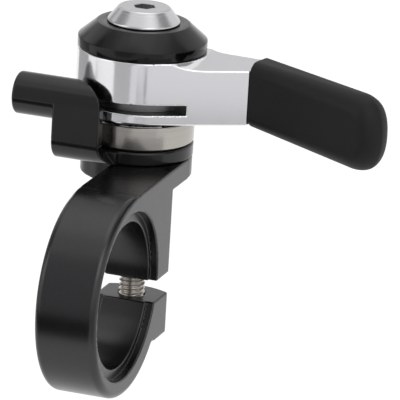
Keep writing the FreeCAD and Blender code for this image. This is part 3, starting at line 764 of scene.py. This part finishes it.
def round_mesh(name, centre, radius, height, closed):
    """Quads round a vertical axis, from radii and heights given as rows (round the axis) of columns."""
    rows, columns = radius.shape
    angle = np.linspace(0, 2 * math.pi, rows, endpoint=False)[:, None]
    points = np.stack([centre[0] + np.cos(angle) * radius, centre[1] + np.sin(angle) * radius, height], 2)
    faces = []
    for i in range(rows):
        for j in range(columns if closed else columns - 1):
            here, there = i * columns, (i + 1) % rows * columns
            up = (j + 1) % columns
            faces.append((here + j, there + j, there + up, here + up))
    mesh = bpy.data.meshes.new(name)
    mesh.from_pydata((points.reshape(-1, 3) * MM).tolist(), [], faces)
    piece = bpy.data.objects.new(name, mesh)
    COLLECTION.objects.link(piece)
    return piece

def smooth_by_angle(piece, degrees):
    """Smooth shading that keeps edges sharper than the given angle."""
    mesh = piece.data
    mesh.validate()
    mesh.shade_smooth()
    mesh.set_sharp_from_angle(angle=math.radians(degrees))
    return piece

def turned_piece(name, points):
    """Piece turned about the pivot from (radius, height, corner radius) points."""
    profile = np.array(rounded_profile(points))
    shape = (TURNED_SEGMENTS, len(profile))
    piece = round_mesh(name, PIVOT, np.broadcast_to(profile[:, 0], shape),
                       np.broadcast_to(profile[:, 1], shape), closed=True)
    work = bmesh.new()
    work.from_mesh(piece.data)
    bmesh.ops.remove_doubles(work, verts=work.verts, dist=WELD)
    bmesh.ops.recalc_face_normals(work, faces=work.faces)
    work.to_mesh(piece.data)
    work.free()
    return smooth_by_angle(piece, TURNED_SHARP_DEG)

def dress(piece, maker, body, slot, *nodes):
    """Gives a piece its finish and its body, and hides the CAD nodes that it stands for."""
    piece.data.materials.append(finish_of(maker))
    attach(piece, body)
    if nodes:
        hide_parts(*nodes)

# sizes and colours that a user would change

class SHIFTER_PG_sizes(bpy.types.PropertyGroup):
    """Sizes of the shifter's pieces"""
    mesh_step: FloatProperty(name="Mesh step", description="Distance between mesh points on the cast pieces",
                             default=0.24 * MM, min=0.1 * MM, max=1.0 * MM, unit="LENGTH", precision=5)
    thread_pitch: FloatProperty(name="Thread pitch", description="Pitch of the clamp screw's thread",
                                default=0.7 * MM, min=0.3 * MM, max=1.5 * MM, unit="LENGTH", precision=5)
    rim_height: FloatProperty(name="Cap rim", description="Height of the cap's straight rim",
                              default=1.5 * MM, min=0.5 * MM, max=3.0 * MM, unit="LENGTH", precision=5)

def colour_property(name, description, hex_colour):
    """A colour that a user may change, with its default as sRGB hex."""
    return FloatVectorProperty(name=name, description=description, subtype="COLOR", size=4, min=0.0, max=1.0,
                               default=linear(hex_colour))

class SHIFTER_PG_colours(bpy.types.PropertyGroup):
    """Colours of the shifter's finishes"""
    clamp: colour_property("Clamp", "Black anodised aluminium of the band", "#464647")
    cable_stop: colour_property("Cable stop", "Satin black coat", "#191819")
    cap: colour_property("Cap", "Semi-gloss black of the turned cap", "#080808")
    housing: colour_property("Index housing", "Turned stainless steel", "#bdb9b3")
    steel: colour_property("Small steel pieces", "Machined stainless steel", "#cfc9c2")
    bolt: colour_property("Pivot bolt", "Polished steel", "#d2d1d3")
    lever: colour_property("Lever", "Buffed aluminium", "#e4e4e6")
    # the groove's darker grey is painted shade in the hollow of the groove, over machined aluminium
    groove: colour_property("Cable groove", "Machined aluminium, darker as painted groove shade", "#868686")
    grip: colour_property("Grip", "Moulded rubber", "#101011")
    acetal: colour_property("Washers and bush", "Moulded acetal", "#1d1d1d")
    carrier: colour_property("Ball carrier", "Stamped brass", "#4a4030")
    paper: colour_property("Floor", "Matt white paper", "#e6e6e6")

class SHIFTER_PG_stage(bpy.types.PropertyGroup):
    """Sizes of the studio round the shifter"""
    lens: FloatProperty(name="Lens", description="Focal length of the camera", default=434.764, min=20.0,
                        max=1000.0, unit="CAMERA")
    floor_drop: FloatProperty(name="Floor below", description="Distance from the bar's centre to the floor",
                              default=0.09, min=0.0, max=0.5, unit="LENGTH")

# pieces

class SHIFTER_OT_clamp_band(bpy.types.Operator):
    """Builds the split band with its web, pivot boss and lugs"""
    bl_idname = "shifter.clamp_band"
    bl_label = "Clamp band"

    def execute(self, context):
        step = context.scene.shifter_sizes.mesh_step / MM
        piece = surface_mesh("clamp_band_body", clamp_field, "clamp_band", step)
        dress(piece, anodised_aluminium, "base", "black_anodised", "clamp_band")
        return {"FINISHED"}

class SHIFTER_OT_clamp_screw(bpy.types.Operator):
    """Builds the clamp screw with a real helical thread and a socket head"""
    bl_idname = "shifter.clamp_screw"
    bl_label = "Clamp screw"

    def execute(self, context):
        pitch = context.scene.shifter_sizes.thread_pitch / MM
        low, high = THREAD
        height = np.linspace(low, high, int((high - low) / pitch * THREAD_ROWS_PER_TURN))[None, :]
        turn = np.arange(THREAD_SEGMENTS)[:, None] / THREAD_SEGMENTS
        phase = (height / pitch - turn) % 1.0
        ridge = np.clip(1 - np.abs(phase - 0.5) * 2 * THREAD_SLOPE, 0, THREAD_CREST) / THREAD_CREST
        radius = THREAD_CORE_R + THREAD_RIDGE * ridge
        thread = round_mesh("clamp_screw_thread", (0.0, SCREW_Y), radius,
                            np.broadcast_to(height, radius.shape), closed=False)
        smooth_by_angle(thread, THREAD_SHARP_DEG)
        dress(thread, machined_steel, "base", "stainless", "clamp_screw")
        head = surface_mesh("clamp_screw_head", screw_head_field, "clamp_screw", SCREW_MESH_STEP)
        dress(head, machined_steel, "base", "stainless")
        return {"FINISHED"}

class SHIFTER_OT_cable_stop(bpy.types.Operator):
    """Builds the cable stop: base disc, bent foot, plate and barrel"""
    bl_idname = "shifter.cable_stop"
    bl_label = "Cable stop"

    def execute(self, context):
        step = context.scene.shifter_sizes.mesh_step / MM * FINE_MESH
        piece = surface_mesh("cable_stop_body", stop_field, "cable_stop", step)
        dress(piece, satin_black_coat, "base", "black_coated", "cable_stop")
        return {"FINISHED"}

class SHIFTER_OT_index_housing(bpy.types.Operator):
    """Builds the turned steel housing of the index mechanism"""
    bl_idname = "shifter.index_housing"
    bl_label = "Index housing"

    def execute(self, context):
        low, top, floor = HOUSING_LOW_Z, HOUSING_TOP_Z, HOUSING_LOW_Z + HOUSING_FLOOR
        piece = turned_piece("index_housing_ring", [
            (KEY_R, low, 0), (HOUSING_R - HOUSING_CHAMFER, low, FINE_EDGE),
            (HOUSING_R, low + HOUSING_CHAMFER, FINE_EDGE), (HOUSING_R, top, DRILLED_EDGE),
            (HOUSING_BORE_R, top, INNER_EDGE), (HOUSING_BORE_R, floor, INNER_EDGE), (KEY_R, floor, 0)])
        dress(piece, satin_housing_steel, "base", "brushed_steel", "index_housing")
        return {"FINISHED"}

class SHIFTER_OT_lever(bpy.types.Operator):
    """Builds the forged lever: hub with its cable groove, and the arm"""
    bl_idname = "shifter.lever"
    bl_label = "Lever"

    def execute(self, context):
        step = context.scene.shifter_sizes.mesh_step / MM * FINE_MESH
        piece = surface_mesh("lever_forging", lever_field, "lever", step)
        dress(piece, polished_aluminium, "lever", "polished_aluminium", "lever")
        mesh = piece.data
        # faces in the cable groove take the rougher machined finish, whose darker colour is painted shade
        mesh.materials.append(finish_of(groove_aluminium_with_painted_shade))
        centre = np.zeros(len(mesh.polygons) * 3)
        mesh.polygons.foreach_get("center", centre)
        dull = in_groove(*(centre.reshape(-1, 3) / MM).T)
        mesh.polygons.foreach_set("material_index", dull.astype(np.int32))
        return {"FINISHED"}

class SHIFTER_OT_lever_grip(bpy.types.Operator):
    """Builds the rubber grip"""
    bl_idname = "shifter.lever_grip"
    bl_label = "Lever grip"

    def execute(self, context):
        step = context.scene.shifter_sizes.mesh_step / MM
        piece = surface_mesh("lever_grip_rubber", grip_field, "lever_grip", step)
        dress(piece, moulded_rubber, "lever", "rubber", "lever_grip")
        return {"FINISHED"}

class SHIFTER_OT_top_cap(bpy.types.Operator):
    """Builds the turned cap with its slanted rim"""
    bl_idname = "shifter.top_cap"
    bl_label = "Top cap"

    def execute(self, context):
        rim_z = CAP_LOW_Z + context.scene.shifter_sizes.rim_height / MM
        piece = turned_piece("top_cap_turned", [
            (BOLT_HOLE_R, CAP_POST_Z, 0), (CAP_POST_R, CAP_POST_Z, 0), (CAP_POST_R, CAP_WASHER_Z, 0),
            (CAP_BORE_R, CAP_WASHER_Z, 0), (CAP_BORE_R, CAP_LOW_Z, SHARP_EDGE),
            (HUB_R, CAP_LOW_Z, CAP_LOW_EDGE), (HUB_R, rim_z, SAWN_EDGE), (CAP_FACE_R, CAP_TOP_Z, FORGED_EDGE),
            (CAP_SEAT_R, CAP_TOP_Z, SEAT_EDGE),
            (CAP_SEAT_R, WASHER_LOW_Z, 0), (BOLT_HOLE_R, WASHER_LOW_Z, 0)])
        dress(piece, turned_black_cap, "base", "black_cap", "top_cap")
        return {"FINISHED"}

class SHIFTER_OT_bolt_washer(bpy.types.Operator):
    """Builds the thin washer under the bolt's head"""
    bl_idname = "shifter.bolt_washer"
    bl_label = "Bolt washer"

    def execute(self, context):
        piece = turned_piece("bolt_washer_ring", [
            (BOLT_HOLE_R, WASHER_LOW_Z, 0), (WASHER_R, WASHER_LOW_Z, SHARP_EDGE),
            (WASHER_R, WASHER_TOP_Z, SHARP_EDGE), (BOLT_HOLE_R, WASHER_TOP_Z, 0)])
        dress(piece, moulded_acetal, "base", "acetal", "bolt_washer")
        return {"FINISHED"}

class SHIFTER_OT_pivot_bolt(bpy.types.Operator):
    """Builds the conical pivot bolt with its hexagon socket"""
    bl_idname = "shifter.pivot_bolt"
    bl_label = "Pivot bolt"

    def execute(self, context):
        piece = surface_mesh("pivot_bolt_body", bolt_field, "pivot_bolt", BOLT_MESH_STEP)
        dress(piece, polished_bolt_steel, "base", "polished_steel", "pivot_bolt")
        return {"FINISHED"}

class SHIFTER_OT_inner_pieces(bpy.types.Operator):
    """Gives the pieces inside the hub and the housing their finishes"""
    bl_idname = "shifter.inner_pieces"
    bl_label = "Inner pieces"

    def execute(self, context):
        for names, maker in ((STAINLESS_NODES, machined_steel), (ACETAL_NODES, moulded_acetal),
                             (BRASS_NODES, stamped_brass)):
            for name in names:
                node = frame["nodes"][name]
                node.data.materials.clear()
                node.data.materials.append(finish_of(maker))
        return {"FINISHED"}

# stage, in metres

CAMERA_AT = (0.229614, -0.642936, 0.226553)
CAMERA_BEARING = -71.5173
CAMERA_ELEVATION = 17.2007
CAMERA_ROLL = 3.3836
LAMPS_AIM_AT = (0.0, 0.015, 0.012)
FLOOR_HALF = 3.0
FLOOR_GLOW = 0.55
ROOM_LIGHT = 0.5
# lamps: name, place, size and power in watts
LAMPS = [
    ("key", (0.9, -0.9, 1.1), (0.9, 0.9), 3.0),
    ("fill", (-1.1, -0.8, 0.7), (0.8, 0.8), 1.6),
    ("top", (0.0, 0.2, 1.5), (1.0, 1.0), 2.4),
]
# boards that polished metal mirrors: name, bearing from the pivot in degrees, distance, height, size and grey
BOARDS = [
    ("board_front", -100.5, 0.3, 0.09, (0.22, 0.4), "#bebec0"),
    ("board_front_right", -64.0, 0.32, -0.07, (0.4, 0.18), "#ededef"),
    ("board_left", 163.0, 0.3, 0.03, (0.22, 0.24), "#b2b2b4"),
    ("board_right", -48.0, 0.1, -0.024, (0.12, 0.044), "#c6c6c8"),
    ("board_back", 108.0, 0.5, 0.33, (0.8, 0.36), "#dededf"),
    ("board_left_high", 190.0, 0.5, 0.4, (0.35, 0.4), "#9c9c9e"),
    ("board_right_high", 20.0, 0.5, 0.4, (0.35, 0.4), "#9c9c9e"),
    ("board_below", -107.0, 0.125, -0.044, (0.3, 0.044), "#484849"),
]

def flat_board(name, width, depth, z):
    """A level rectangle as an object of the scene."""
    w, d = width / 2, depth / 2
    mesh = bpy.data.meshes.new(name)
    mesh.from_pydata([(-w, -d, z), (w, -d, z), (w, d, z), (-w, d, z)], [], [(0, 1, 2, 3)])
    board = bpy.data.objects.new(name, mesh)
    COLLECTION.objects.link(board)
    return board

def turn_to_shifter(holder, place):
    """Puts a lamp or board at its place, facing the shifter."""
    holder.location = place
    aim = Vector(LAMPS_AIM_AT) - Vector(place)
    holder.rotation_euler = aim.to_track_quat("-Z", "Y").to_euler()

def looks_white(tree):
    """1 for rays that come from the camera, a mirror or glass, which see the background as plain white."""
    path = add_node(tree, "ShaderNodeLightPath")
    seen = path.outputs["Is Camera Ray"]
    for ray in ("Is Glossy Ray", "Is Transmission Ray"):
        seen = add_node(tree, "ShaderNodeMath", {0: seen, 1: path.outputs[ray]},
                        operation="MAXIMUM").outputs[0]
    return seen

def place_camera(context):
    """Camera with the photograph's view of the shifter."""
    camera = bpy.data.objects.new("camera", bpy.data.cameras.new("camera"))
    COLLECTION.objects.link(camera)
    turn = (Matrix.Rotation(math.radians(CAMERA_BEARING + 90), 4, "Z")
            @ Matrix.Rotation(math.radians(90 - CAMERA_ELEVATION), 4, "X")
            @ Matrix.Rotation(math.radians(CAMERA_ROLL), 4, "Z"))
    camera.matrix_world = Matrix.Translation(CAMERA_AT) @ turn
    camera.data.lens = context.scene.shifter_stage.lens
    camera.data.sensor_width = 36.0
    camera.data.clip_start = 0.01
    camera.data.clip_end = 20.0
    context.scene.camera = camera

def lay_floor(context):
    """White paper floor that glows only for rays that look at it, so that it keeps the shadow."""
    floor = flat_board("floor", 2 * FLOOR_HALF, 2 * FLOOR_HALF, -context.scene.shifter_stage.floor_drop)
    material, tree = new_material("floor, matt white paper")
    paper = add_node(tree, "ShaderNodeBsdfDiffuse", {"Color": list(context.scene.shifter_colours.paper)})
    glow = add_node(tree, "ShaderNodeEmission", {"Color": (1, 1, 1, 1), "Strength": FLOOR_GLOW})
    lit = add_node(tree, "ShaderNodeAddShader", {0: paper.outputs[0], 1: glow.outputs[0]})
    mixed = add_node(tree, "ShaderNodeMixShader", {0: looks_white(tree), 1: paper.outputs[0],
                                                   2: lit.outputs[0]})
    floor.data.materials.append(finish_material(material, mixed))

def light_room(context):
    """World that lights the shifter softly and looks white."""
    world = bpy.data.worlds.new("studio")
    context.scene.world = world
    world.use_nodes = True
    tree = world.node_tree
    tree.nodes.clear()
    soft, white = (add_node(tree, "ShaderNodeBackground", {"Color": (1, 1, 1, 1), "Strength": strength})
                   for strength in (ROOM_LIGHT, 1.0))
    mixed = add_node(tree, "ShaderNodeMixShader", {0: looks_white(tree), 1: soft.outputs[0],
                                                   2: white.outputs[0]})
    add_node(tree, "ShaderNodeOutputWorld", {"Surface": mixed.outputs[0]})

def hang_lamp(name, place, size, power):
    """A soft rectangular lamp."""
    lamp = bpy.data.lights.new(name, "AREA")
    lamp.shape = "RECTANGLE"
    lamp.size, lamp.size_y = size
    lamp.energy = power
    holder = bpy.data.objects.new(name, lamp)
    COLLECTION.objects.link(holder)
    turn_to_shifter(holder, place)

def stand_board(name, bearing, distance, height, size, grey):
    """A grey board that only the metal mirrors: it has no shadow and lights nothing."""
    board = flat_board(name, *size, 0.0)
    s, t = turned(distance, 0.0, -bearing)
    turn_to_shifter(board, (PIVOT[0] * MM + s, PIVOT[1] * MM + t, height))
    material, tree = new_material("studio board, " + grey)
    glow = add_node(tree, "ShaderNodeEmission", {"Color": linear(grey), "Strength": 1.0})
    board.data.materials.append(finish_material(material, glow))
    board.visible_camera = False
    board.visible_shadow = False
    board.visible_diffuse = False

class SHIFTER_OT_stage(bpy.types.Operator):
    """Sets the camera, the floor, the background and the studio lights"""
    bl_idname = "shifter.stage"
    bl_label = "Stage"

    def execute(self, context):
        context.scene.view_settings.view_transform = "Standard"
        place_camera(context)
        lay_floor(context)
        light_room(context)
        for lamp in LAMPS:
            hang_lamp(*lamp)
        for board in BOARDS:
            stand_board(*board)
        return {"FINISHED"}

class SHIFTER_PT_panel(bpy.types.Panel):
    """Lists the pieces in the sidebar"""
    bl_idname = "SHIFTER_PT_panel"
    bl_label = "Gear shifter"
    bl_space_type = "VIEW_3D"
    bl_region_type = "UI"
    bl_category = "Shifter"

    def draw(self, context):
        scene = context.scene
        for group in (scene.shifter_sizes, scene.shifter_stage, scene.shifter_colours):
            for key in type(group).__annotations__:
                self.layout.prop(group, key)
        for operator in PIECES:
            self.layout.operator(operator.bl_idname)

PIECES = (SHIFTER_OT_stage, SHIFTER_OT_clamp_band, SHIFTER_OT_clamp_screw, SHIFTER_OT_cable_stop,
          SHIFTER_OT_index_housing, SHIFTER_OT_lever, SHIFTER_OT_lever_grip, SHIFTER_OT_top_cap,
          SHIFTER_OT_bolt_washer, SHIFTER_OT_pivot_bolt, SHIFTER_OT_inner_pieces)
CLASSES = (SHIFTER_PG_sizes, SHIFTER_PG_colours, SHIFTER_PG_stage) + PIECES + (SHIFTER_PT_panel,)

def register():
    for item in CLASSES:
        bpy.utils.register_class(item)
    bpy.types.Scene.shifter_sizes = PointerProperty(type=SHIFTER_PG_sizes)
    bpy.types.Scene.shifter_colours = PointerProperty(type=SHIFTER_PG_colours)
    bpy.types.Scene.shifter_stage = PointerProperty(type=SHIFTER_PG_stage)

def unregister():
    del bpy.types.Scene.shifter_stage
    del bpy.types.Scene.shifter_colours
    del bpy.types.Scene.shifter_sizes
    for item in reversed(CLASSES):
        bpy.utils.unregister_class(item)

def main():
    register()
    for operator in PIECES:
        getattr(bpy.ops.shifter, operator.bl_idname.split(".")[1])()

if __name__ == "__main__":
    main()
